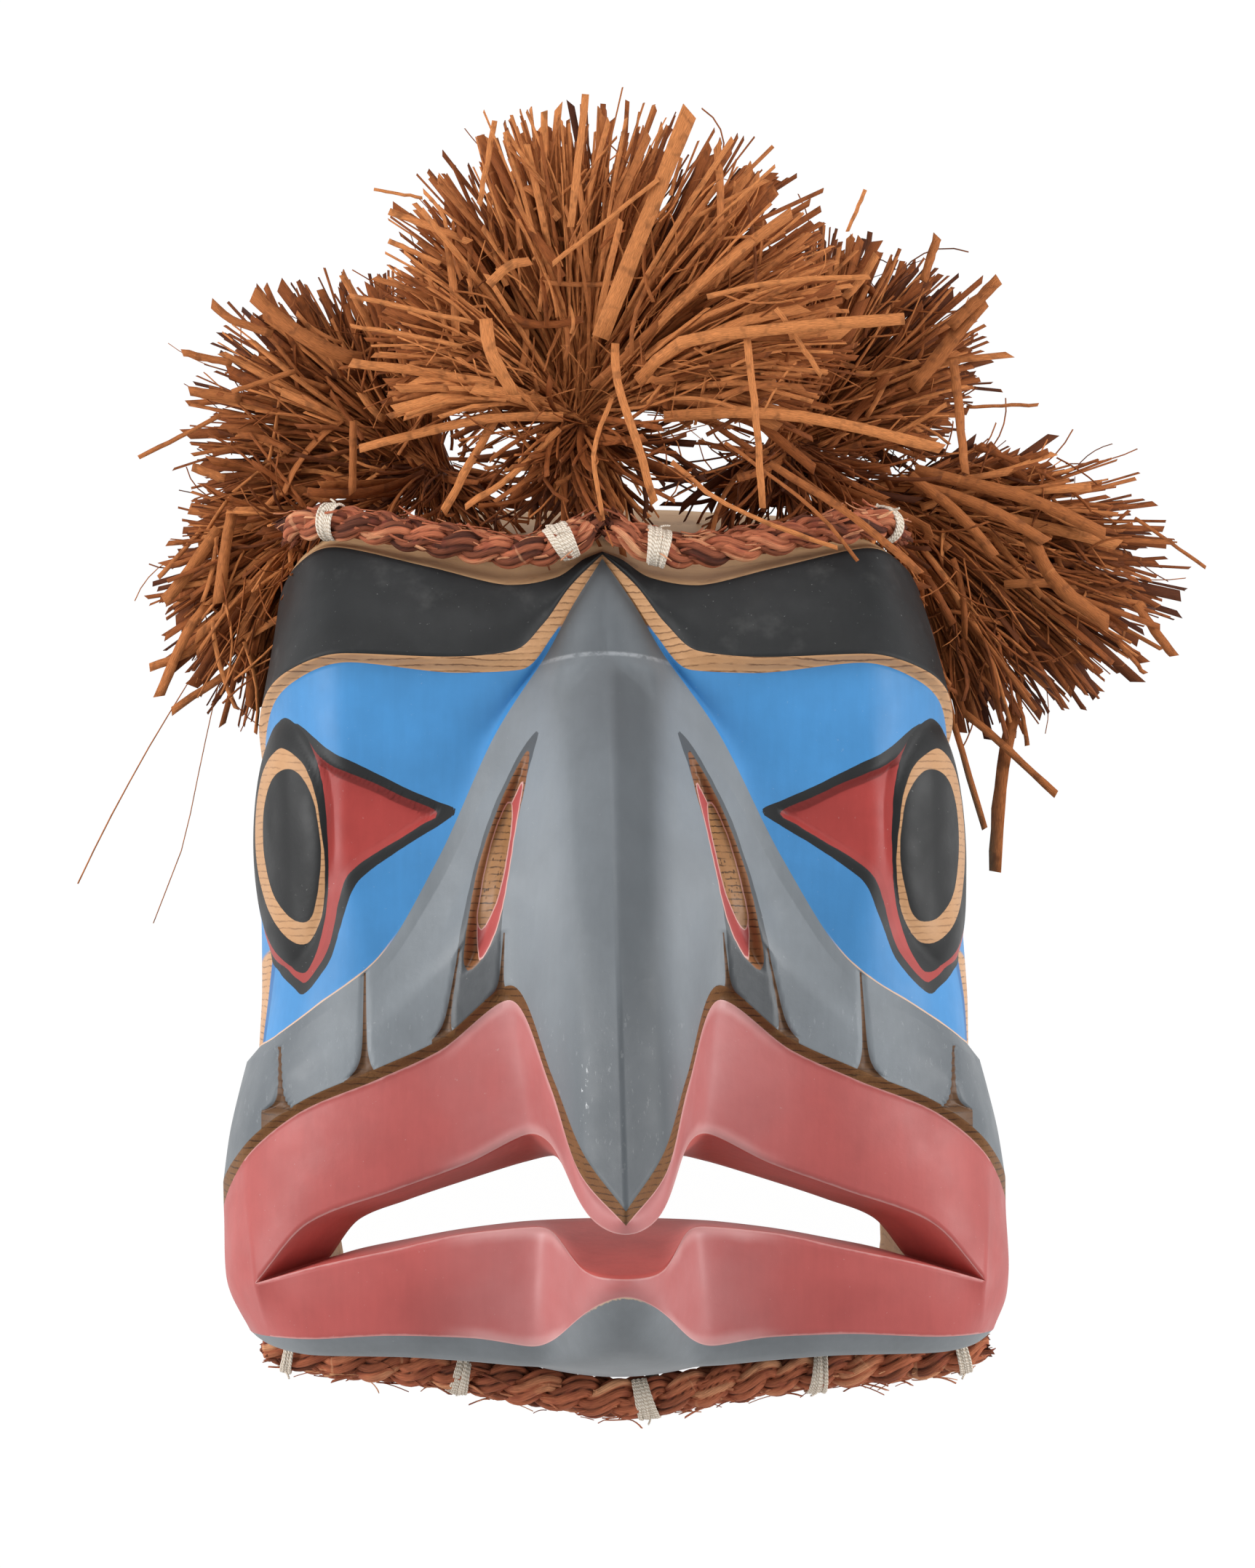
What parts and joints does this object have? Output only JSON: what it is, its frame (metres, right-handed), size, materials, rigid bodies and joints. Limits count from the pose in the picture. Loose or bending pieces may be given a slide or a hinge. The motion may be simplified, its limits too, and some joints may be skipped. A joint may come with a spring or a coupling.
{
  "type": "carved kingfisher mask",
  "caption": "Carved and painted wooden bird mask with a long beak, open mouth, plaited bark edging and tufts of shredded bark; lies on its back rim.",
  "frame": {"origin": "middle of the flat back rim under the chin, on the mask's plane of symmetry", "axes": "+Z out of the back rim towards the front of the face, +Y from chin to crown, +X to the viewer's right"},
  "size_m": [0.3943, 0.4559, 0.192],
  "materials": {
    "painted_cedar": "carved cedar, matt paint in blue-grey, black, blue and red with bare wood lines",
    "plaited_bark": "matt red-brown plaited bark",
    "cotton_string": "matt off-white twisted string",
    "shredded_bark": "matt orange-brown shredded bark"
  },
  "bodies": {
    "root": {"mask": "painted_cedar", "plait_crown_left": "plaited_bark", "plait_crown_right": "plaited_bark", "plait_chin": "plaited_bark", "tie_crown_left_outer": "cotton_string", "tie_crown_left_inner": "cotton_string", "tie_crown_right_inner": "cotton_string", "tie_crown_right_outer": "cotton_string", "tie_chin_1": "cotton_string", "tie_chin_2": "cotton_string", "tie_chin_3": "cotton_string", "tie_chin_4": "cotton_string", "tie_chin_5": "cotton_string", "tuft_centre": "shredded_bark", "tuft_left_upper": "shredded_bark", "tuft_left_lower": "shredded_bark", "tuft_right_upper": "shredded_bark", "tuft_right_lower": "shredded_bark"}
  },
  "joints": []
}
